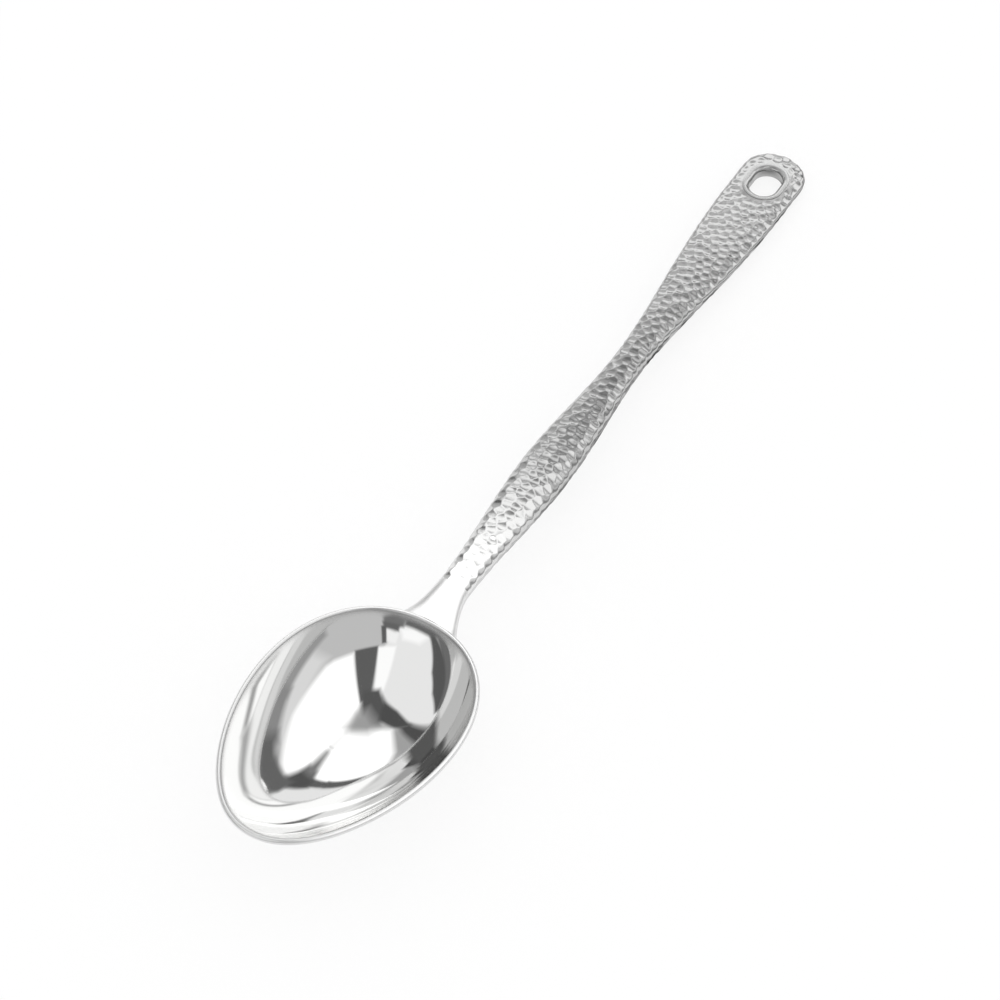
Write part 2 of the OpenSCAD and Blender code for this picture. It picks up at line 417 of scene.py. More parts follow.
@dataclass(frozen=True)
class SteelFinish:
    """A bare stainless steel surface and the marks of its polishing."""

    name: str
    slot: str
    grey: float
    grey_spread: float
    roughness: float
    roughness_spread: float
    pattern: Pattern
    line_size: float
    line_depth: float
    smear_size: float = 14.0
    rim_haze: float = 0.0
    # How much darker the bowl's inner face grows towards the rim.
    rim_darkening: float = 0.0
    # Painted sheen: a lighter grey over a run along X, standing in for a bright reflection.
    painted_sheen_grey: float = 0.0
    painted_sheen_run: tuple[float, float] = (-60.0, -5.0)
    rim_lines: tuple[float, float] = (3.0, 40.0)
    bar_stretch: float = 0.04
    smear_share: float = 0.6
    smear_detail: float = 3.0
    line_detail: float = 2.0
    darkening_power: float = 3.0
    blue_share: float = 0.995
    haze_run: tuple[float, float] = (0.93, 0.05)
    edge_run: tuple[float, float] = (0.985, 0.02)

    def coordinates(self, bench: Bench) -> Wire:
        """Lay out the polishing lines.

        Args:
            bench: The bench of the material's tree.

        Returns:
            The coordinates on which the lines are drawn.
        """
        if self.pattern is Pattern.ROUND_THE_RIM:
            source = self.polish(bench)
            stretch = (self.rim_lines[0], self.rim_lines[1] / self.line_size, 1.0)
        else:
            source = bench.place()
            along = self.bar_stretch if self.pattern is Pattern.ALONG_THE_BAR else 1.0
            density = 1.0 / (self.line_size * MM)
            stretch = (density * along, density, density)
        return bench.wire("ShaderNodeMapping", None, {"Vector": source, "Scale": stretch})

    def polish(self, bench: Bench) -> Wire:
        """Return the bowl's map: Y is 0 at the deepest point and 1 at mid rim."""
        return bench.wire("ShaderNodeUVMap", {"uv_map": "polish"})

    def haze(self, bench: Bench) -> Wire:
        """Return 0 over the bowl's middle, rising to 1 at its rim."""
        share = self.polish(bench).part("Y").ramp(*self.haze_run)
        return share * share

    def outer_edge(self, bench: Bench) -> Wire:
        """Return 0 inside the bowl, rising to 1 on the outer half of its rim."""
        return self.polish(bench).part("Y").ramp(*self.edge_run)

    def material(self) -> bpy.types.Material:
        """Build the finish.

        Returns:
            A material whose grey, roughness and fine relief vary over the surface.
        """
        made, bench = new_material(self.name)
        place = bench.place()
        smear = bench.noise(place, 1.0 / (self.smear_size * MM), self.smear_detail)
        lines = bench.noise(self.coordinates(bench), 1.0, self.line_detail)
        shade = (smear * self.smear_share + lines * (1.0 - self.smear_share)).held()
        grey = shade.between(self.grey - self.grey_spread, self.grey + self.grey_spread)
        # Painted sheen: the grey lightens towards the handle's mouth, standing in for the bright
        # reflection near the neck.
        if self.painted_sheen_grey:
            grey = place.share_of("X", self.painted_sheen_run).between(self.painted_sheen_grey, grey)
        # Darker towards the rim on the bowl's inner face, not on the rim's outer half.
        if self.rim_darkening:
            darkened = self.haze(bench) ** self.darkening_power * (1.0 - self.outer_edge(bench))
            grey = grey * (1.0 - darkened * self.rim_darkening)
        blue = grey * self.blue_share
        colour = bench.wire("ShaderNodeCombineColor", None, {0: grey, 1: grey, 2: blue})
        rough = shade.between(self.roughness, self.roughness + self.roughness_spread)
        if self.rim_haze:
            rough = rough + self.haze(bench) * self.rim_haze
        bump = {"Strength": 1.0, "Distance": self.line_depth * MM, "Height": lines}
        relief = bench.wire("ShaderNodeBump", None, bump)
        steel = {"Base Color": colour, "Metallic": 1.0, "Roughness": rough, "Normal": relief}
        shader = bench.wire("ShaderNodeBsdfPrincipled", None, steel)
        bench.node("ShaderNodeOutputMaterial", None, {"Surface": shader})
        return made


MIRROR_STEEL = SteelFinish(
    name="mirror_steel", slot="mirror_steel", pattern=Pattern.ROUND_THE_RIM,
    grey=0.83, grey_spread=0.01, roughness=0.03, roughness_spread=0.03,
    line_size=0.5, line_depth=0.0004, rim_haze=0.3, rim_darkening=0.35,
)
NECK_STEEL = SteelFinish(
    name="neck_steel", slot="mirror_steel", pattern=Pattern.ALL_OVER,
    grey=0.86, grey_spread=0.01, roughness=0.36, roughness_spread=0.06,
    line_size=0.5, line_depth=0.0004,
)
# The hammered handle carries a painted sheen: its grey lightens towards the mouth.
HAMMERED_STEEL = SteelFinish(
    name="hammered_steel", slot="hammered_steel", pattern=Pattern.ALL_OVER,
    grey=0.56, grey_spread=0.04, roughness=0.13, roughness_spread=0.07,
    line_size=0.4, line_depth=0.002, painted_sheen_grey=0.84,
)
TURNED_STEEL = SteelFinish(
    name="turned_steel", slot="turned_steel", pattern=Pattern.ALL_OVER,
    grey=0.60, grey_spread=0.03, roughness=0.20, roughness_spread=0.06,
    line_size=0.3, line_depth=0.001,
)
DRAWN_STEEL = SteelFinish(
    name="drawn_steel", slot="drawn_steel", pattern=Pattern.ALONG_THE_BAR,
    grey=0.6, grey_spread=0.05, roughness=0.25, roughness_spread=0.12,
    line_size=0.15, line_depth=0.004,
)


# Standing for the solids


def hold_inside(piece: bpy.types.Object, node: str) -> None:
    """Hold a piece's mesh inside the box of the solid that it stands for.

    Args:
        piece: The finished piece.
        node: Name of the solid.
    """
    low, high = (np.array(corner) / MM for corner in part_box(node))
    place = np.clip(points_of(piece.data), low, high) * MM
    piece.data.vertices.foreach_set("co", place.ravel())
    piece.data.update()


def dress(piece: bpy.types.Object, finish: SteelFinish, node: str) -> None:
    """Give a piece its finish and let it stand for a solid.

    Args:
        piece: The finished piece.
        finish: Its steel.
        node: Name of the solid.
    """
    piece.data.materials.clear()
    piece.data.materials.append(finish.material())
    declare(piece, node)


def declare(piece: bpy.types.Object, node: str) -> None:
    """Let a piece ride the spoon's body and stand for a solid.

    Args:
        piece: The finished piece.
        node: Name of the solid.
    """
    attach(piece, "root")
    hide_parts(node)


# The bowl


@dataclass
class Bowl:
    """The drawn and mirror-polished bowl, egg-shaped in plan."""

    length: float = 97.0
    width: float = 67.0
    depth: float = 23.0
    wall: float = 1.8
    tip_lift: float = 7.6
    egg_share: float = 0.16
    deepest_offset: float = 5.0
    square_share: float = 0.95
    middle_x: float = -116.5
    middle_z: float = 25.28
    rings: int = 72
    sides: int = 400
    edge_steps: int = 12
    slope_step: float = 1e-4
    rim_samples: int = 1441
    peak_samples: int = 61
    sharp_angle: float = 60.0
    mould_height: float = 24.0
    finish: SteelFinish = MIRROR_STEEL

    def egg(self, turn: np.ndarray) -> np.ndarray:
        """Return the rim's half width at each turn, before it is scaled."""
        return np.abs(np.sin(turn)) ** self.square_share * (1 - self.egg_share * np.cos(turn))

    def rim(self, turn: np.ndarray) -> tuple[np.ndarray, np.ndarray]:
        """Return the rim's plan.

        Args:
            turn: Angle round the rim, in radians from the tip.

        Returns:
            The x and the y of the rim, in millimetres about its middle.
        """
        peak = self.egg(np.linspace(0, math.pi, self.peak_samples)).max()
        half = (self.width - self.wall) / 2 / peak
        x = -(self.length - self.wall) / 2 * np.cos(turn)
        return x, half * np.sign(np.sin(turn)) * self.egg(turn)

    def sheet(self, reach: np.ndarray, turn: np.ndarray) -> np.ndarray:
        """Return points on the middle of the sheet.

        Args:
            reach: Share of the way from the deepest point out to the rim.
            turn: Angle round the rim, in radians from the tip.

        Returns:
            Rows of coordinates in millimetres about the middle of the rim.
        """
        rim_x, rim_y = self.rim(turn)
        across = rim_x - self.deepest_offset
        far = np.hypot(across, rim_y)
        radius = (far**2 + self.depth**2) / (2 * self.depth)
        x = self.deepest_offset + across * reach
        drop = np.sqrt(radius**2 - (far * reach) ** 2) - (radius - self.depth)
        slope = -self.tip_lift / ((self.length - self.wall) / 2)
        return np.stack([x, rim_y * reach, slope * x - drop], axis=-1)

    def ring(self, share: float) -> tuple[np.ndarray, ...]:
        """Return one ring of points on the middle of the sheet.

        Args:
            share: Share of the way from the deepest point out to the rim.

        Returns:
            The points, the directions outwards along the sheet, and those under it.
        """
        step = self.slope_step
        turn = np.arange(self.sides) * math.tau / self.sides
        reach = np.full_like(turn, share)
        out = unit_rows(self.sheet(reach + step, turn) - self.sheet(reach - step, turn))
        side = self.sheet(reach, turn + step) - self.sheet(reach, turn - step)
        return self.sheet(reach, turn), out, unit_rows(np.cross(out, side))

    def skin(self, share: float, side: float) -> np.ndarray:
        """Return one ring of a face of the sheet, inner for side -1 and outer for 1."""
        point, _, under = self.ring(share)
        return point + side * self.wall / 2 * under

    def edge(self, turned: float) -> np.ndarray:
        """Return one ring of the rounded rim, turned from the inner face to the outer."""
        point, out, under = self.ring(1.0)
        return point + self.wall / 2 * (math.sin(turned) * out - math.cos(turned) * under)

    def outside(self, first: int) -> list[np.ndarray]:
        """Return the rings from a step of the rim's edge down the outer face."""
        edge = [self.edge(math.pi * i / self.edge_steps) for i in range(first, self.edge_steps)]
        return edge + [self.skin(reach, 1) for reach in self.reaches()[::-1]]

    def placed(self, rows: np.ndarray) -> np.ndarray:
        """Return points moved from the middle of the rim to their place."""
        return rows + [self.middle_x, 0.0, self.middle_z]

    def reaches(self) -> np.ndarray:
        """Return the shares at which rings lie, closer together near the rim."""
        return np.sin(np.arange(1, self.rings + 1) / self.rings * math.pi / 2)

    def pole(self, side: float) -> np.ndarray:
        """Return the deepest point of a face as one row."""
        return self.sheet(np.zeros(1), np.zeros(1)) - [0.0, 0.0, side * self.wall / 2]

    def build(self) -> bpy.types.Object:
        """Build the bowl's closed sheet with its rounded rim.

        Returns:
            The bowl, fitted into the box of the solid that it stands for.
        """
        inner = [self.skin(reach, -1) for reach in self.reaches()]
        rings = inner + self.outside(1)
        points = self.placed(np.concatenate([self.pole(-1), *rings, self.pole(1)]))
        faces = globe_faces(len(rings), self.sides)
        bowl = new_object("polished_bowl", points, faces, self.sharp_angle)
        hold_inside(bowl, "bowl")
        self.lay_polish(bowl)
        dress(bowl, self.finish, "bowl")
        return bowl

    def lay_polish(self, bowl: bpy.types.Object) -> None:
        """Give the bowl a map whose lines run round the rim.

        Args:
            bowl: The bowl, at its place.
        """
        mesh = bowl.data
        layer = mesh.uv_layers.new(name="polish")
        place = points_of(mesh) - [self.middle_x, 0.0, self.middle_z]
        turn = np.linspace(-math.pi, math.pi, self.rim_samples)
        rim_x, rim_y = self.rim(turn)
        bearing = np.unwrap(np.arctan2(rim_y, rim_x - self.deepest_offset))
        order = np.argsort(bearing)
        far = np.hypot(rim_x - self.deepest_offset, rim_y)
        own = np.arctan2(place[:, 1], place[:, 0] - self.deepest_offset)
        reach = np.interp(own, bearing[order], far[order], period=math.tau)
        rise = np.hypot(place[:, 0] - self.deepest_offset, place[:, 1]) / reach
        corner = np.empty(len(mesh.loops), dtype=np.int32)
        mesh.loops.foreach_get("vertex_index", corner)
        around = (np.cos(own) / 2)[corner]
        layer.data.foreach_set("uv", np.stack([around, rise[corner]], axis=-1).ravel())

    def mould(self) -> bpy.types.Object:
        """Build everything inside the bowl's outer face, carried up past the rim.

        Returns:
            The closed shape that the neck is seated on.
        """
        rise = np.array([0.0, 0.0, self.mould_height])
        rings = [self.edge(math.pi / 2) + rise, *self.outside(self.edge_steps // 2)]
        points = np.concatenate([rise[None, :], *rings, self.pole(1)])
        faces = globe_faces(len(rings), self.sides)
        return new_object("bowl_mould", self.placed(points), faces)


# The handle


@dataclass
class Handle:
    """Sizes that the handle's pieces share, along the handle's own axis."""

    mouth_x: float = -54.0
    end_x: float = 165.0
    mouth_width: float = 10.6
    swell_width: float = 16.8
    waist_width: float = 10.6
    paddle_width: float = 22.6
    paddle_station: float = 23.0
    waist_station: float = 110.0
    swell_station: float = 164.0
    end_round: float = 12.0
    mouth_thick: float = 7.0
    swell_thick: float = 9.0
    waist_thick: float = 7.2
    paddle_thick: float = 4.6
    shell_wall: float = 1.0
    braze_gap: float = 0.1
    round_power: float = 2.3
    flat_power: float = 3.2
    outline_power: float = 2.6
    thin_share: float = 0.35
    skew_share: float = 0.85
    tilt: float = field(init=False)
    mouth_z: float = field(init=False)

    def __post_init__(self) -> None:
        """Read the handle's slope from the hanging hole's axis."""
        mount = frame["record"]["mounts"][0]
        hole = [value / MM for value in mount["pos_m"]]
        self.tilt = math.asin(mount["axis"][0])
        self.mouth_z = hole[2] + (hole[0] - self.mouth_x) * math.tan(self.tilt)

    @property
    def run(self) -> float:
        """Length of the handle along its own axis."""
        return (self.end_x - self.mouth_x) / math.cos(self.tilt)

    def placed(self, rows: np.ndarray) -> np.ndarray:
        """Return points moved from the handle's own axis to their place."""
        return self.turned(rows) + [self.mouth_x, 0.0, self.mouth_z]

    def turned(self, rows: np.ndarray) -> np.ndarray:
        """Return directions turned from the handle's own axis to the spoon's frame."""
        c, s = math.cos(self.tilt), math.sin(self.tilt)
        return rows @ np.array([[c, 0.0, -s], [0.0, 1.0, 0.0], [s, 0.0, c]])

    def along(self, x: float, mouth: float, swell: float, waist: float, paddle: float) -> float:
        """Return a size at a place along the handle.

        Args:
            x: Distance from the mouth.
            mouth: The size at the mouth.
            swell: The size at the swelling.
            waist: The size at the waist.
            paddle: The size at the paddle's widest place.

        Returns:
            The size, passing softly from one station to the next.
        """
        swell_at = self.run - self.swell_station
        if x < swell_at:
            return mix(mouth, swell, ease(x / swell_at))
        if x < self.run - self.waist_station:
            share = (x - swell_at) / (self.swell_station - self.waist_station)
            return mix(swell, waist, ease(share))
        return mix(waist, paddle, ease(self.past_waist(x) ** self.skew_share))

    def past_waist(self, x: float) -> float:
        """Return 0 at the waist, rising to 1 at the paddle's widest place."""
        waist_at = self.run - self.waist_station
        return (x - waist_at) / (self.waist_station - self.paddle_station)

    def half_wide(self, x: float) -> float:
        """Return half the handle's width at a place along it."""
        sizes = (self.mouth_width, self.swell_width, self.waist_width, self.paddle_width)
        return self.along(x, *sizes) / 2

    def half_thick(self, x: float) -> float:
        """Return half the handle's thickness at a place along it."""
        sizes = (self.mouth_thick, self.swell_thick, self.waist_thick, self.paddle_thick)
        return self.along(x, *sizes) / 2

    def flatness(self, x: float) -> float:
        """Return the power of the rounded section at a place along the handle."""
        return mix(self.round_power, self.flat_power, ease(self.past_waist(x)))

    def height(self, x: float, y: float) -> float:
        """Return the upper skin's height over the axis, at a place along and across."""
        power = self.flatness(x)
        return self.half_thick(x) * (1 - (y / self.half_wide(x)) ** power) ** (1 / power)


def rounded_arc(
    half_wide: float, half_thick: float, power: float, span: float, steps: int
) -> np.ndarray:
    """Return even points on a rounded section, from its left edge over the top.

    Args:
        half_wide: Half the section's width.
        half_thick: Half the section's thickness.
        power: How square the section is: 2 is an ellipse.
        span: Angle that is gone round, in radians.
        steps: Number of steps between the points.

    Returns:
        Rows of y and z, spaced evenly along the curve.
    """
    turn = np.linspace(0, span, ARC_SAMPLES * steps + 1)
    y = half_wide * np.sign(np.cos(turn)) * np.abs(np.cos(turn)) ** (2 / power)
    z = half_thick * np.sign(np.sin(turn)) * np.abs(np.sin(turn)) ** (2 / power)
    gone = np.concatenate([[0.0], np.cumsum(np.hypot(np.diff(y), np.diff(z)))])
    if gone[-1] < SHORTEST_CURVE:
        return np.zeros((steps + 1, 2))
    even = np.linspace(0, gone[-1], steps + 1)
    return np.stack([np.interp(even, gone, y), np.interp(even, gone, z)], axis=-1)


class Half(Enum):
    """The two pressed halves of the hollow handle."""

    UPPER = 1
    LOWER = -1


@dataclass
class HangingHole:
    """The oval hanging hole and the turned sleeve that lines it."""

    handle: Handle
    width: float = 9.6
    length: float = 13.4
    station: float = 15.3
    sleeve_wall: float = 0.8
    lip_reach: float = 0.8
    lip_height: float = 0.4
    lip_radius: float = 1.5
    gap: float = 0.1
    round_steps: int = 48
    side_steps: int = 4
    lip_steps: int = 14
    overlap: float = 1.0
    finish: SteelFinish = TURNED_STEEL

    @property
    def centre(self) -> float:
        """Place of the hole's middle along the handle."""
        return self.handle.run - self.station

    @property
    def lip_out(self) -> float:
        """Distance from the middle of a round end to the outside of the lip."""
        return self.width / 2 + self.lip_radius + self.lip_reach

    @property
    def seat(self) -> float:
        """Height of the flat that the lip sits on, above the handle's axis."""
        return self.handle.height(self.centre, self.lip_out)

    def path(self) -> list[tuple[float, float]]:
        """Return the oval path round the hole.

        Returns:
            The middle of the turn and the angle on it, for each place on the path.
        """
        half = (self.length - self.width) / 2
        turns = np.linspace(-math.pi / 2, math.pi / 2, self.round_steps + 1)
        sides = np.linspace(half, -half, self.side_steps + 1)[1:-1]
        right = [(half, float(turn)) for turn in turns]
        top = [(float(place), math.pi / 2) for place in sides]
        left = [(-half, float(turn) + math.pi) for turn in turns]
        low = [(-float(place), -math.pi / 2) for place in sides]
        return right + top + left + low

    def swept(self, name: str, section: Sequence[tuple[float, float]]) -> bpy.types.Object:
        """Carry a section round the oval.

        Args:
            name: Name of the shape.
            section: Pairs of distance from the oval's middle line and height.

        Returns:
            The closed shape, at its place.
        """
        path = self.path()
        rows = [
            (self.centre + place + out * math.cos(turn), out * math.sin(turn), height)
            for out, height in section
            for place, turn in path
        ]
        faces = grid_faces(len(section), len(path), 0, True)
        return new_object(name, self.handle.placed(np.array(rows)), faces)

    def cutter(self, half: Half) -> bpy.types.Object:
        """Build the room for the sleeve and its lip in one shell.

        Args:
            half: The shell that is cut.

        Returns:
            The closed shape to be cut out.
        """
        hole = self.width / 2 + self.sleeve_wall + self.gap
        lip = self.lip_out + self.gap
        top = self.handle.paddle_thick
        low, seat = -self.overlap, self.seat
        section = [(0.0, low), (hole, low), (hole, seat), (lip, seat), (lip, top), (0.0, top)]
        section = [(out, half.value * height) for out, height in section]
        return self.swept("hole_cutter_" + half.name.lower(), section)

    def lip_section(self) -> list[tuple[float, float]]:
        """Return the sleeve's section above its middle.

        Returns:
            Distances out and heights, from the hole over the lip.
        """
        top = self.seat + self.lip_height
        bead = self.lip_height / 2
        inner = np.linspace(math.pi, math.pi / 2, self.lip_steps + 1)
        outer = np.linspace(math.pi / 2, -math.pi / 2, self.lip_steps // 2 + 1)
        start = self.width / 2 + self.lip_radius
        radius, end, seat = self.lip_radius, self.lip_out - bead, self.seat
        over = [(start + radius * math.cos(a), top - radius * (1 - math.sin(a))) for a in inner]
        down = [(end + bead * math.cos(a), seat + bead + bead * math.sin(a)) for a in outer]
        return over + down + [(self.width / 2 + self.sleeve_wall, seat)]

    def build(self) -> bpy.types.Object:
        """Build the sleeve with its two rolled lips.

        Returns:
            The sleeve.
        """
        above = self.lip_section()
        section = above + [(out, -height) for out, height in reversed(above)]
        section.append(section[0])
        sleeve = self.swept("hole_lining", section)
        hold_inside(sleeve, "hole_sleeve")
        dress(sleeve, self.finish, "hole_sleeve")
        return sleeve


@dataclass
class HammerMarks:
    """Round hammer marks struck all over the handle, and the bored hanging hole."""

    spacing: float = 2.7
    depth: float = 0.26
    radius: float = 1.85
    seed: int = 11
    most_per_square_metre: float = 1500000.0
    force: tuple[float, float] = (0.45, 1.45)
    force_scale: float = 220.0
    sharp_angle: float = 38.0
    tree: bpy.types.NodeTree = field(init=False)

    def __post_init__(self) -> None:
        """Build the tree once for both shells."""
        self.tree = bpy.data.node_groups.new("hammer_marks", "GeometryNodeTree")
        sockets = (
            ("Shell", "INPUT", "Geometry"),
            ("Struck skin", "INPUT", "Object"),
            ("Hole cutter", "INPUT", "Object"),
            ("Spacing", "INPUT", "Float"),
            ("Depth", "INPUT", "Float"),
            ("Radius", "INPUT", "Float"),
            ("Seed", "INPUT", "Int"),
            ("Steel", "INPUT", "Material"),
            ("Shell", "OUTPUT", "Geometry"),
        )
        for name, way, kind in sockets:
            kind = "NodeSocket" + kind
            self.tree.interface.new_socket(name=name, in_out=way, socket_type=kind)
        self.lay_nodes(Bench(self.tree))

    def lay_nodes(self, bench: Bench) -> None:
        """Lay the nodes that strike the marks, bore the hole and set the steel.

        Args:
            bench: The bench on the empty tree.
        """
        entry = bench.node("NodeGroupInput")

        def given(name: str) -> Wire:
            """Return one of the tree's named inputs."""
            return Wire(bench, entry.outputs[name])

        def shape(name: str) -> Wire:
            """Return the shape of the object given as a named input."""
            own = {"transform_space": "ORIGINAL"}
            return bench.wire("GeometryNodeObjectInfo", own, {"Object": given(name)}, "Geometry")

        def kept(name: str, kind: str) -> Wire:
            """Return values kept on the shell's points."""
            settings = {"data_type": kind}
            return bench.wire("GeometryNodeInputNamedAttribute", settings, {"Name": name})

        spread = {
            "Mesh": shape("Struck skin"),
            "Distance Min": given("Spacing"),
            "Density Max": self.most_per_square_metre,
            "Seed": given("Seed"),
        }
        settings = {"distribute_method": "POISSON"}
        blows = bench.wire("GeometryNodeDistributePointsOnFaces", settings, spread, "Points")
        settings = {"target_element": "POINTS"}
        nearest = bench.wire("GeometryNodeProximity", settings, {0: blows}, "Distance")
        force = bench.noise(bench.wire("GeometryNodeInputPosition"), self.force_scale, 1.0)
        share = nearest / given("Radius")
        hollow = (1.0 - share * share).most(0.0) * force.between(*self.force)
        sink = -(hollow * kept("struck", "FLOAT") * given("Depth"))
        sockets = {0: kept("outward", "FLOAT_VECTOR"), "Scale": sink}
        offset = bench.wire("ShaderNodeVectorMath", {"operation": "SCALE"}, sockets)
        sockets = {"Geometry": given("Shell"), "Offset": offset}
        beaten = bench.wire("GeometryNodeSetPosition", None, sockets)
        settings = {"operation": "DIFFERENCE", "solver": "EXACT"}
        sockets = {"Mesh 1": beaten, "Mesh 2": shape("Hole cutter")}
        bored = bench.wire("GeometryNodeMeshBoolean", settings, sockets)
        sockets = {"Geometry": bored, "Shade Smooth": True}
        smooth = bench.wire("GeometryNodeSetShadeSmooth", {"domain": "FACE"}, sockets)
        bend = bench.wire("GeometryNodeInputMeshEdgeAngle", output="Unsigned Angle")
        settings = {"data_type": "FLOAT", "operation": "GREATER_THAN"}
        sockets = {0: bend, 1: math.radians(self.sharp_angle)}
        corner = bench.wire("FunctionNodeCompare", settings, sockets)
        sockets = {"Geometry": smooth, "Selection": corner, "Shade Smooth": False}
        sharp = bench.wire("GeometryNodeSetShadeSmooth", {"domain": "EDGE"}, sockets)
        whole = bench.wire("GeometryNodeRealizeInstances", None, {"Geometry": sharp})
        sockets = {"Geometry": whole, "Material": given("Steel")}
        steel = bench.wire("GeometryNodeSetMaterial", None, sockets)
        bench.node("NodeGroupOutput", None, {0: steel})

    def strike(
        self,
        shell: bpy.types.Object,
        skin: bpy.types.Object,
        cutter: bpy.types.Object,
        steel: bpy.types.Material,
    ) -> None:
        """Strike the marks into a shell and bore it.

        Args:
            shell: The smooth closed shell, with its struck and outward attributes.
            skin: The handle's whole outer skin, on which the blows fall.
            cutter: The closed shape of the hole and the lip's seat.
            steel: The shell's material.
        """
        values = {
            "Struck skin": skin,
            "Hole cutter": cutter,
            "Spacing": self.spacing * MM,
            "Depth": self.depth * MM,
            "Radius": self.radius * MM,
            "Seed": self.seed,
            "Steel": steel,
        }
        tool = shell.modifiers.new("hammer", "NODES")
        tool.node_group = self.tree
        for item in self.tree.interface.items_tree:
            if item.item_type == "SOCKET" and item.in_out == "INPUT" and item.name in values:
                tool[item.identifier] = values[item.name]
        freeze(shell)


@dataclass
class HandleShells:
    """The two pressed and hammered shells of the hollow handle."""

    handle: Handle
    hole: HangingHole
    marks: HammerMarks
    body_steps: int = 560
    end_steps: int = 48
    section_steps: int = 76
    inner_steps: int = 8
    plain_ring: float = 1.6
    plain_start: float = 0.2
    seam_share: float = 0.5
    skin_steps: int = 24
    skin_stride: int = 6
    least_side: float = 1e-6
    finish: SteelFinish = HAMMERED_STEEL

    def stations(self) -> list[tuple[float, float, float]]:
        """Return the places of the mesh's rows.

        Returns:
            Places along the handle, with the shares of width and thickness left.
        """
        handle = self.handle
        straight = handle.run - handle.end_round
        rows = [(straight * i / self.body_steps, 1.0, 1.0) for i in range(self.body_steps)]
        for i in range(self.end_steps + 1):
            turn = math.pi / 2 * i / self.end_steps
            place = straight + handle.end_round * math.sin(turn) ** (2 / handle.outline_power)
            left = max(math.cos(turn), 0.0)
            rows.append((place, left, left**handle.thin_share if i < self.end_steps else 0.0))
        return rows

    def rings(self, inset: float, steps: int) -> np.ndarray:
        """Return the rows of a skin along the handle's own axis.

        Args:
            inset: Distance that the skin lies inside the outer one.
            steps: Number of steps over the section, from edge to edge.

        Returns:
            An array of stations by section points by coordinates.
        """
        rows = []
        for x, wide, thick in self.stations():
            half_wide = (self.handle.half_wide(x) - inset) * wide
            half_thick = (self.handle.half_thick(x) - inset) * thick
            power = self.handle.flatness(x)
            section = rounded_arc(half_wide, half_thick, power, math.pi, steps)
            place = x - inset * (1 - wide)
            rows.append(np.column_stack([np.full(steps + 1, place), section]))
        return np.array(rows)

    def outward(self, rings: np.ndarray) -> np.ndarray:
        """Return the directions out of a skin.

        Args:
            rings: The skin's points, by station and round the section.

        Returns:
            One direction for each point, flat along both seams.
        """
        out = unit_rows(np.cross(np.gradient(rings, axis=1), np.gradient(rings, axis=0)))
        flip = np.sign(np.sum(out * (rings - rings * [1, 0, 0]), axis=-1, keepdims=True))
        out = out * np.where(flip == 0, 1.0, flip)
        for column, side in ((0, 1.0), (-1, -1.0)):
            flat = out[:, column].copy()
            flat[:, 2] = 0.0
            flat[:, 1] = side * np.maximum(np.abs(flat[:, 1]), self.least_side)
            out[:, column] = unit_rows(flat)
        out[-1] = [1.0, 0.0, 0.0]
        return out

    def struck_share(self, rings: np.ndarray) -> np.ndarray:
        """Return how fully the hammer marks each point.

        Args:
            rings: The outer skin's points, by station and round the section.

        Returns:
            Shares: nothing round the hole, and less along the seam than on the faces.
        """
        half = (self.hole.length - self.hole.width) / 2
        beside = np.maximum(np.abs(rings[..., 0] - self.hole.centre) - half, 0.0)
        away = np.hypot(beside, rings[..., 1]) - self.hole.lip_out
        clear = np.clip((away - self.plain_ring * self.plain_start) / self.plain_ring, 0.0, 1.0)
        raised = np.sin(np.linspace(0.0, math.pi, rings.shape[1]))
        return clear * (self.seam_share + (1 - self.seam_share) * np.minimum(raised * 2, 1.0))

    def skin(self) -> bpy.types.Object:
        """Build the handle's whole outer skin, coarsely.

        Returns:
            The skin, for the blows to fall on.
        """
        upper = self.rings(0.0, self.skin_steps)[:: self.skin_stride]
        lower = upper * [1.0, 1.0, -1.0]
        rows, columns = upper.shape[:2]
        points = self.handle.placed(np.concatenate([upper.reshape(-1, 3), lower.reshape(-1, 3)]))
        faces = [f for n in (0, rows * columns) for f in grid_faces(rows, columns, n, False)]
        return new_object("struck_skin", points, faces)

    def smooth_shell(self, half: Half) -> bpy.types.Object:
        """Build one shell before it is struck.

        Args:
            half: Which of the two shells.

        Returns:
            The closed shell, with its struck and outward attributes.
        """
        turn = [1.0, 1.0, half.value]
        outer = self.rings(0.0, self.section_steps)
        inner = self.rings(self.handle.shell_wall, self.inner_steps)
        outward = self.outward(outer) * turn
        struck = self.struck_share(outer)
        n, m, k = len(outer), self.section_steps, self.inner_steps
        away = n * (m + 1)
        faces = grid_faces(n, m + 1, 0, False) + grid_faces(n, k + 1, away, False)
        for i in range(n - 1):
            a, b = i * (m + 1), (i + 1) * (m + 1)
            c, d = away + i * (k + 1), away + (i + 1) * (k + 1)
            faces.append((a, b, d, c))
            faces.append((a + m, b + m, d + k, c + k))
        faces.append((*range(m + 1), *range(away + k, away - 1, -1)))
        points = np.concatenate([outer.reshape(-1, 3), inner.reshape(-1, 3)]) * turn
        zeros = np.zeros((n * (k + 1), 3))
        values = {
            "struck": np.concatenate([struck.ravel(), zeros[:, 0]]),
            "outward": np.concatenate([self.handle.turned(outward.reshape(-1, 3)), zeros]),
        }
        name = half.name.lower() + "_shell"
        return new_object(name, self.handle.placed(points), faces, values=values)

    def build(self) -> list[bpy.types.Object]:
        """Build both shells, hammered and bored.

        Returns:
            The upper and the lower shell.
        """
        skin = self.skin()
        made = []
        for half in Half:
            node = f"handle_{half.name.lower()}_shell"
            shell = self.smooth_shell(half)
            cutter = self.hole.cutter(half)
            self.marks.strike(shell, skin, cutter, self.finish.material())
            discard(cutter)
            hold_inside(shell, node)
            for name in ("struck", "outward"):
                shell.data.attributes.remove(shell.data.attributes[name])
            declare(shell, node)
            made.append(shell)
        discard(skin)
        return made


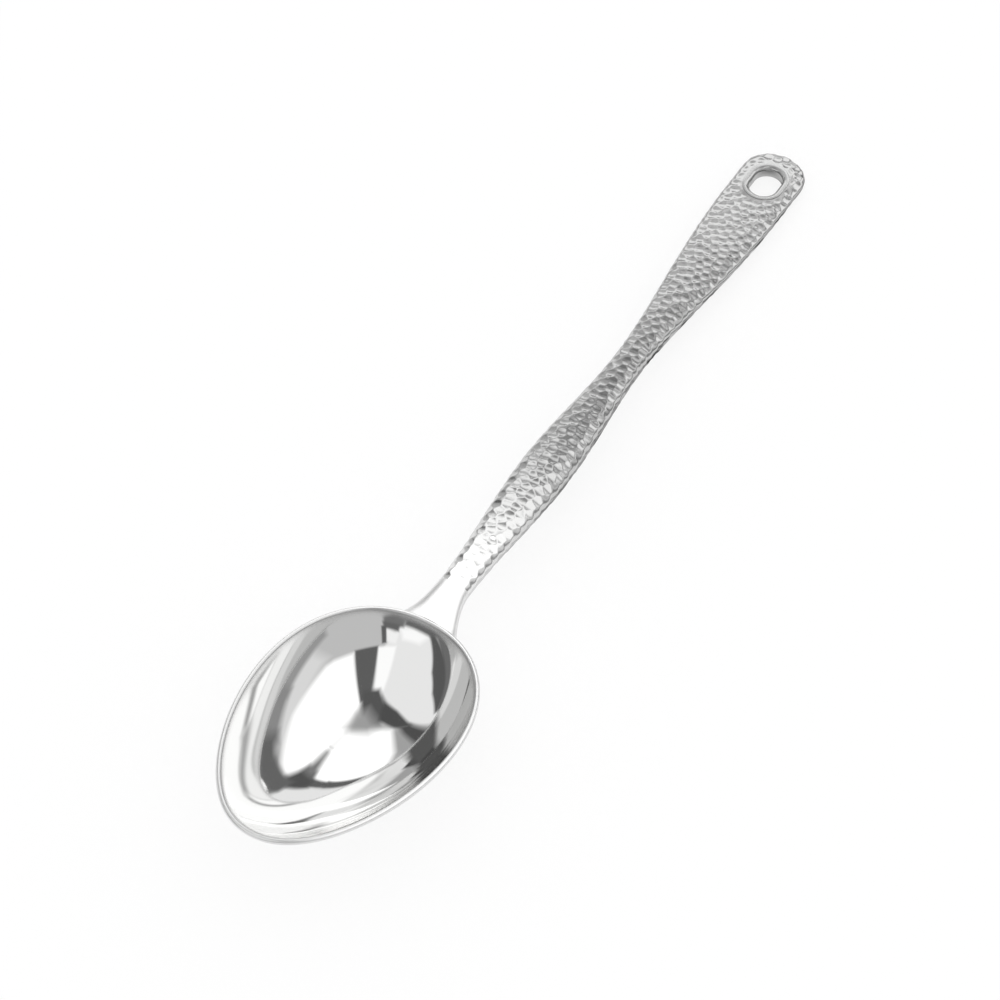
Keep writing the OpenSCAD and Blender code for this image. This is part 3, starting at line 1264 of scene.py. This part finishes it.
@dataclass
class Neck:
    """The solid root between the bowl's heel and the handle's mouth, with its spigot."""

    handle: Handle
    bowl: Bowl
    length: float = 14.0
    drop: float = 0.8
    flare: float = 4.2
    keel: float = 6.5
    spigot: float = 10.0
    rod_seat: float = 12.0
    rod_radius: float = 1.55
    flare_power: float = 1.8
    flare_end: float = 1.3
    steps: int = 72
    sides: int = 120
    bore_sides: int = 48
    overlap: float = 1.0
    finish: SteelFinish = NECK_STEEL

    def ring(self, x: float, wide: float, top: float, low: float) -> np.ndarray:
        """Return one whole section of the neck about the handle's axis."""
        arc = rounded_arc(wide, (top - low) / 2, self.handle.round_power, math.tau, self.sides)
        return np.column_stack([np.full(self.sides, x), arc[:-1]]) + [0.0, 0.0, (top + low) / 2]

    def root(self, x: float) -> np.ndarray:
        """Return one section of the root.

        Args:
            x: Place along the handle, below zero before the mouth.

        Returns:
            Rows of points about the axis.
        """
        share = -x / self.length
        half = self.handle.mouth_thick / 2
        crest = self.bowl.wall / 2 + self.drop - self.length * math.sin(self.handle.tilt)
        flare = self.flare * min(share, self.flare_end) ** self.flare_power
        wide = self.handle.mouth_width / 2 + flare
        return self.ring(x, wide, mix(half, crest, ease(share)), -mix(half, self.keel, ease(share)))

    def build(self) -> bpy.types.Object:
        """Build the neck, seated on the bowl's heel and bored for the rod.

        Returns:
            The neck.
        """
        reach = self.length + self.keel + self.bowl.wall + self.overlap
        rings = [self.root(-reach * i / self.steps) for i in range(self.steps, -1, -1)]
        sheet = self.handle.shell_wall + self.handle.braze_gap
        for x in (0.0, self.spigot):
            thick = self.handle.half_thick(x) - sheet
            rings.append(self.ring(x, self.handle.half_wide(x) - sheet, thick, -thick))
        neck = self.closed("welded_neck", rings)
        cut_away(neck, self.bowl.mould(), self.bore())
        hold_inside(neck, "neck")
        dress(neck, self.finish, "neck")
        return neck

    def bore(self) -> bpy.types.Object:
        """Build the round room for the rod.

        Returns:
            The closed shape to be cut out of the neck.
        """
        turn = np.arange(self.bore_sides) * math.tau / self.bore_sides
        ends = (self.spigot - self.rod_seat, self.spigot + self.overlap)
        rows = (np.zeros_like(turn), self.rod_radius * np.cos(turn), self.rod_radius * np.sin(turn))
        return self.closed("rod_bore", [np.column_stack(rows) + [end, 0, 0] for end in ends])

    def closed(self, name: str, rings: list[np.ndarray]) -> bpy.types.Object:
        """Join rings about the handle's axis into one shape, flat at both ends.

        Args:
            name: Name of the shape.
            rings: Rows of points, all rings with the same number.

        Returns:
            The closed shape.
        """
        sides, count = len(rings[0]), len(rings) * len(rings[0])
        faces = grid_faces(len(rings), sides, 0, True)
        faces += [tuple(range(sides)), tuple(range(count - 1, count - sides - 1, -1))]
        return new_object(name, self.handle.placed(np.concatenate(rings)), faces)


@dataclass
class TangRod:
    """The round bar inside the handle: the solid keeps its shape and gets its steel."""

    finish: SteelFinish = DRAWN_STEEL

    def build(self) -> bpy.types.Object:
        """Dress the solid of the rod.

        Returns:
            The rod.
        """
        rod = frame["nodes"]["tang_rod"]
        rod.data.materials.clear()
        rod.data.materials.append(self.finish.material())
        return rod


# The studio


def heading(azimuth: float, elevation: float) -> Vector:
    """Return the direction of an azimuth and an elevation in degrees."""
    a, e = math.radians(azimuth), math.radians(elevation)
    return Vector((math.sin(a) * math.cos(e), math.cos(a) * math.cos(e), math.sin(e)))


def inward(normal: Vector, aim: Vector) -> Vector:
    """Return a normal one unit long, turned to the side that an aim lies on."""
    normal = normal.normalized()
    return normal if normal.dot(aim) > 0 else -normal


@dataclass(frozen=True)
class WallPatch:
    """A flat panel or a dark gap of the studio, as the spoon sees it."""

    name: str
    corners: tuple[tuple[float, float], ...]
    level: float
    softness: float = 0.04
    again: float | None = None
    only_again: bool = False

    def edges(self) -> list[Vector]:
        """Find the planes through the patch's sides.

        Returns:
            Their normals, pointing inwards.
        """
        corners = [heading(*corner) for corner in self.corners]
        middle = sum(corners, Vector((0.0, 0.0, 0.0)))
        pairs = zip(corners, corners[1:] + corners[:1])
        return [inward(first.cross(second), middle) for first, second in pairs]

    def mask(self, direction: Wire) -> Wire:
        """Return 1 where a direction meets the patch and 0 elsewhere, with soft sides."""
        inside = reduce(Wire.least, (direction.dot(normal) for normal in self.edges()))
        return (inside / self.softness + 0.5).held()


# For each patch: corners by azimuth and elevation in degrees, level, softness of the
# sides, and the level that second and later reflections see, where that is another one.
STUDIO_WALLS = (
    WallPatch("pale wall", (
        (6, 14), (-16, 15), (-62, 12), (-91, 18), (-110, 47), (45, 88), (11, 48), (17, 22)
    ), 0.95, 0.05, 0.70),
    WallPatch("bright strip", ((-65, 20), (-69, 30), (-87, 35), (-94, 27), (-80, 22)), 1.15, 0.08),
    WallPatch("bright wedge", ((-92, 43), (-22, 81), (-76, 87), (-118, 46)), 1.17, 0.05, 0.95),
    WallPatch("bright spot", ((-94, 32), (-94, 41), (-107, 41), (-112, 29)), 1.05, 0.05),
    WallPatch("light ground", (
        (-174, 41), (127, 27), (96, 16), (100, 4), (110, 1), (130, 2), (151, 6), (174, 13)
    ), 0.81, 0.16),
    WallPatch("skirt far", ((142, 1), (142, 13), (188, 11), (188, 0)), 0.36, 0.08),
    WallPatch("skirt", ((116, 0), (116, 13), (148, 14), (148, 2)), 0.30, 0.10),
    WallPatch("skirt near", ((93, 0), (93, 13), (121, 12), (121, -1)), 0.15, 0.13),
    WallPatch("white low", (
        (125, 80), (88, 59), (91, 26), (99, 14), (115, 15),
        (131, 23), (148, 26), (166, 30), (-177, 36), (-154, 44)
    ), 1.42, 0.10),
    WallPatch("shade beside band", ((12, 18), (34, 17), (38, 38), (29, 52), (18, 47)), 0.42, 0.14),
    WallPatch("white high", (
        (27, 52), (35, 27), (42, 16), (55, 18), (73, 22), (83, 24), (89, 33), (88, 59), (53, 63)
    ), 1.42, 0.10, 1.05),
    WallPatch("shade seen again", (
        (15, 67), (63, 41), (54, 21), (38, 12), (20, 24)
    ), 0.48, 0.15, only_again=True),
    WallPatch("right rim light", (
        (51, 14), (65, 9), (85, 1), (91, 0), (91, 10), (80, 18)
    ), 0.93, 0.05),
    WallPatch("lens rim", (
        (1, 15), (-18, 12), (-43, 7), (-61, 5), (-62, 13), (-36, 20), (1, 20)
    ), 0.17, 0.06),
    WallPatch("lens", (
        (0, 17), (-20, 18), (-41, 15), (-60, 12), (-65, 18), (-37, 33), (-16, 32), (2, 21)
    ), 0.11, 0.05),
    WallPatch("left line top", ((-52, 5), (-62, 18), (-91, 23), (-91, 11)), 0.13, 0.06),
    WallPatch("left line low", (
        (-90, 11), (-91, 25), (-114, 29), (-116, 18), (-104, 11)
    ), 0.19, 0.06),
    WallPatch("camera board", ((-118, 45), (-135, 89), (129, 80), (-151, 42)), 0.13, 0.04, 1.25),
    WallPatch("top board", (
        (-70, 80), (5, 72), (38, 63), (58, 65), (80, 74), (127, 81), (-171, 80)
    ), 0.11, 0.08, 1.05),
    WallPatch("top board right", (
        (39, 63), (56, 59), (81, 59), (95, 60), (97, 72), (63, 79)
    ), 0.40, 0.20, 1.0),
    WallPatch("board edge low", (
        (-161, 57), (-169, 50), (165, 48), (164, 56)
    ), 0.50, 0.06, only_again=True),
    WallPatch("board edge side", (
        (170, 51), (161, 49), (150, 70), (162, 75)
    ), 0.50, 0.06, only_again=True),
    WallPatch("board edge high", (
        (149, 72), (162, 84), (-150, 84), (175, 76)
    ), 0.55, 0.06, only_again=True),
    WallPatch("hanging band low", (
        (3, 62), (13, 38), (19, 38), (24, 52), (43, 63), (-7, 77)
    ), 0.09, 0.05),
    WallPatch("hanging band high", (
        (12, 41), (13, 18), (23, 12), (25, 19), (22, 39), (21, 50)
    ), 0.09, 0.07),
    WallPatch("band seen again", (
        (11, 29), (25, 24), (0, 85), (-58, 75)
    ), 0.09, 0.10, only_again=True),
    WallPatch("right line high", ((49, 17), (52, 14), (70, 18), (70, 23)), 0.13, 0.03),
    WallPatch("right line low", ((68, 22), (69, 18), (83, 18), (86, 24)), 0.13, 0.03),
    WallPatch("blob", ((85, 28), (79, 17), (91, 11), (97, 14), (93, 28)), 0.10, 0.06),
    WallPatch("spike", ((88, 41), (85, 24), (93, 24), (90, 41)), 0.23, 0.08),
    WallPatch("tail", ((91, 16), (91, 6), (98, -3), (112, 0), (109, 11)), 0.15, 0.06),
    WallPatch("hook upright", ((-96, 24), (-95, 30), (-113, 28), (-116, 23)), 0.15, 0.04),
    WallPatch("hook arm", ((-111, 27), (-107, 42), (-113, 43), (-117, 27)), 0.13, 0.03),
)


@dataclass(frozen=True)
class StudioCard:
    """A card that stands close to the spoon and that only polished steel shows."""

    name: str
    corners: tuple[tuple[float, float, float], ...]
    level: float
    square_on: float
    fade: tuple[float, float] = (0.0, 0.0)
    dark_level: float = 0.0
    blotch_size: float = 70.0
    calm: tuple[float, float] = (0.0, 0.0)
    calm_level: float = 0.72
    softness: float = 0.0
    only_again: bool = False
    turn_run: float = 0.1
    blotch_run: tuple[float, float] = (0.36, 0.28)

    def soft_sides(self, place: Wire) -> Wire:
        """Soften the card's sides.

        Args:
            place: Where the surface lies.

        Returns:
            0 at the card's sides, rising to 1 inside them.
        """
        corners = [Vector(corner) * MM for corner in self.corners]
        middle = sum(corners, Vector((0.0, 0.0, 0.0))) / len(corners)
        upright = (corners[1] - corners[0]).cross(corners[2] - corners[1])
        sides = []
        for first, second in zip(corners, corners[1:] + corners[:1]):
            normal = inward((second - first).cross(upright), middle - first)
            sides.append(place.dot(normal) - normal.dot(first))
        return (reduce(Wire.least, sides) / (self.softness * MM)).held()

    def build(self) -> None:
        """Stand the card up, clear for everything but a reflection."""
        card = new_object(self.name, np.array(self.corners, dtype=float), [(0, 1, 2, 3)])
        made, bench = new_material(self.name)
        shown, depth = bench.light_path("Is Glossy Ray", "Glossy Depth")
        place = bench.place()
        if self.only_again:
            shown = shown * (depth - 1.0).held()
        if self.softness:
            shown = shown * self.soft_sides(place)
        if self.fade[1] > self.fade[0]:
            shown = shown * place.share_of("X", self.fade)
        turned = bench.wire("ShaderNodeLayerWeight", None, {"Blend": 0.5}, "Facing")
        shown = shown * (1.0 - turned).ramp(self.square_on, self.turn_run)
        level: Any = self.level
        if self.dark_level:
            blotch = bench.noise(place, 1.0 / (self.blotch_size * MM), 1.0)
            level = blotch.ramp(*self.blotch_run).between(self.dark_level, self.level)
            if self.calm[1] > self.calm[0]:
                level = place.share_of("Y", self.calm).between(level, self.calm_level)
        clear = bench.wire("ShaderNodeBsdfTransparent")
        glow = bench.wire("ShaderNodeEmission", None, {"Strength": level})
        bench.end("ShaderNodeOutputMaterial", shown, clear, glow)
        card.data.materials.append(made)


STUDIO_CARDS = (
    StudioCard(
        "blotched_card", ((40, -240, 89), (380, -240, 222), (380, 260, 216), (40, 260, 83)),
        level=1.08, square_on=0.12, fade=(45, 90), dark_level=0.26, calm=(50, 130),
    ),
    StudioCard(
        "board_over_bowl", ((-86, 76, 80), (-60, 76, 80), (-86, 12, 80), (-118, 12, 80)),
        level=0.13, square_on=0.1, softness=6.0, only_again=True,
    ),
    StudioCard(
        "neck_card", ((-62, -15, 50), (-22, -15, 50), (-22, 50, 50), (-62, 50, 50)),
        level=1.9, square_on=0.62,
    ),
    StudioCard(
        "light_under_bowl",
        ((-210, -80, -0.15), (-20, -80, -0.15), (-20, 80, -0.15), (-210, 80, -0.15)),
        level=0.8, square_on=0.5,
    ),
    StudioCard(
        "shade_under_handle",
        ((-40, -26, -0.1), (172, -26, -0.1), (172, 16, -0.1), (-40, 16, -0.1)),
        level=0.8, square_on=0.25, fade=(-40, 10), dark_level=0.08, blotch_size=9.0,
    ),
)


@dataclass
class Studio:
    """The white ground, the soft light and the camera of the photograph."""

    look: tuple[float, float, float] = (-6.3, 0.0, 12.0)
    azimuth: float = 59.42
    elevation: float = 54.07
    distance: float = 1000.0
    lens: float = 114.4
    shift: tuple[float, float] = (-0.0331, -0.0106)
    sensor: float = 36.0
    clip: tuple[float, float] = (50.0, 20000.0)
    ground_size: float = 3000.0
    ground_height: float = -0.2
    ground_white: float = 0.85
    mirrored_white: float = 0.5
    matt_white: float = 0.92
    walls: tuple[WallPatch, ...] = STUDIO_WALLS
    cards: tuple[StudioCard, ...] = STUDIO_CARDS
    wall_level: float = 0.60
    light_level: float = 1.1
    glossy_bounces: int = 12

    def build(self) -> None:
        """Set up the ground, the light, the camera and the plain view of colours."""
        self.lay_ground()
        self.light()
        for card in self.cards:
            card.build()
        self.set_camera()
        bpy.context.scene.view_settings.view_transform = "Standard"
        bpy.context.scene.cycles.glossy_bounces = self.glossy_bounces

    def lay_ground(self) -> None:
        """Lay the white ground that the spoon rests on."""
        half, z = self.ground_size / 2, self.ground_height
        corners = [(-half, -half, z), (half, -half, z), (half, half, z), (-half, half, z)]
        ground = new_object("white_ground", np.array(corners), [(0, 1, 2, 3)])
        made, bench = new_material("white_ground")
        outputs = ("Is Camera Ray", "Is Glossy Ray", "Is Transmission Ray")
        camera, glossy, transmission = bench.light_path(*outputs)
        seen = (camera * self.ground_white).most(glossy * self.mirrored_white)
        seen = seen.most(transmission * self.ground_white)
        colour = (self.matt_white, self.matt_white, self.matt_white, 1.0)
        matt = bench.wire("ShaderNodeBsdfDiffuse", None, {"Color": colour})
        glow = bench.wire("ShaderNodeEmission", None, {"Strength": 1.0})
        bench.end("ShaderNodeOutputMaterial", seen, matt, glow)
        ground.data.materials.append(made)

    def light(self) -> None:
        """Light the scene from all round: white for the camera, walls for the steel."""
        world = bpy.data.worlds.new("studio")
        bpy.context.scene.world = world
        world.use_nodes = True
        world.cycles.sampling_method = "NONE"
        bench = Bench(world.node_tree)
        direction = bench.wire("ShaderNodeTexCoord", output="Generated")
        shown, steel, depth = bench.light_path("Is Camera Ray", "Is Glossy Ray", "Glossy Depth")
        level: Any = self.wall_level
        later = (depth - 1.0).held()
        for patch in self.walls:
            seen = patch.level if patch.again is None else later.between(patch.level, patch.again)
            mask = patch.mask(direction)
            level = (mask * later if patch.only_again else mask).between(level, seen)
        white = (1.0, 1.0, 1.0, 1.0)
        strength = shown.between(self.light_level, 1.0)
        plain = bench.wire("ShaderNodeBackground", None, {"Color": white, "Strength": strength})
        room = bench.wire("ShaderNodeBackground", None, {"Color": white, "Strength": level})
        bench.end("ShaderNodeOutputWorld", steel, plain, room)

    def set_camera(self) -> None:
        """Stand the camera where the photograph was taken from."""
        forward = heading(self.azimuth, -self.elevation)
        camera = bpy.data.objects.new("camera", bpy.data.cameras.new("camera"))
        bpy.context.scene.collection.objects.link(camera)
        camera.location = (Vector(self.look) - forward * self.distance) * MM
        camera.rotation_euler = forward.to_track_quat("-Z", "Y").to_euler()
        camera.data.lens = self.lens
        camera.data.sensor_width = self.sensor
        camera.data.shift_x, camera.data.shift_y = self.shift
        camera.data.clip_start, camera.data.clip_end = (reach * MM for reach in self.clip)
        bpy.context.scene.camera = camera


def main() -> None:
    """Build the spoon's pieces in order and report each of them."""
    logging.basicConfig(level=logging.INFO, format="%(name)s: %(message)s")
    bowl = Bowl()
    handle = Handle()
    hole = HangingHole(handle)
    shells = HandleShells(handle, hole, HammerMarks())
    made = [bowl.build(), Neck(handle, bowl).build(), TangRod().build(), hole.build()]
    made += shells.build()
    for piece in made:
        LOG.info("%s: %d faces", piece.name, len(piece.data.polygons))
    Studio().build()


if __name__ == "__main__":
    main()
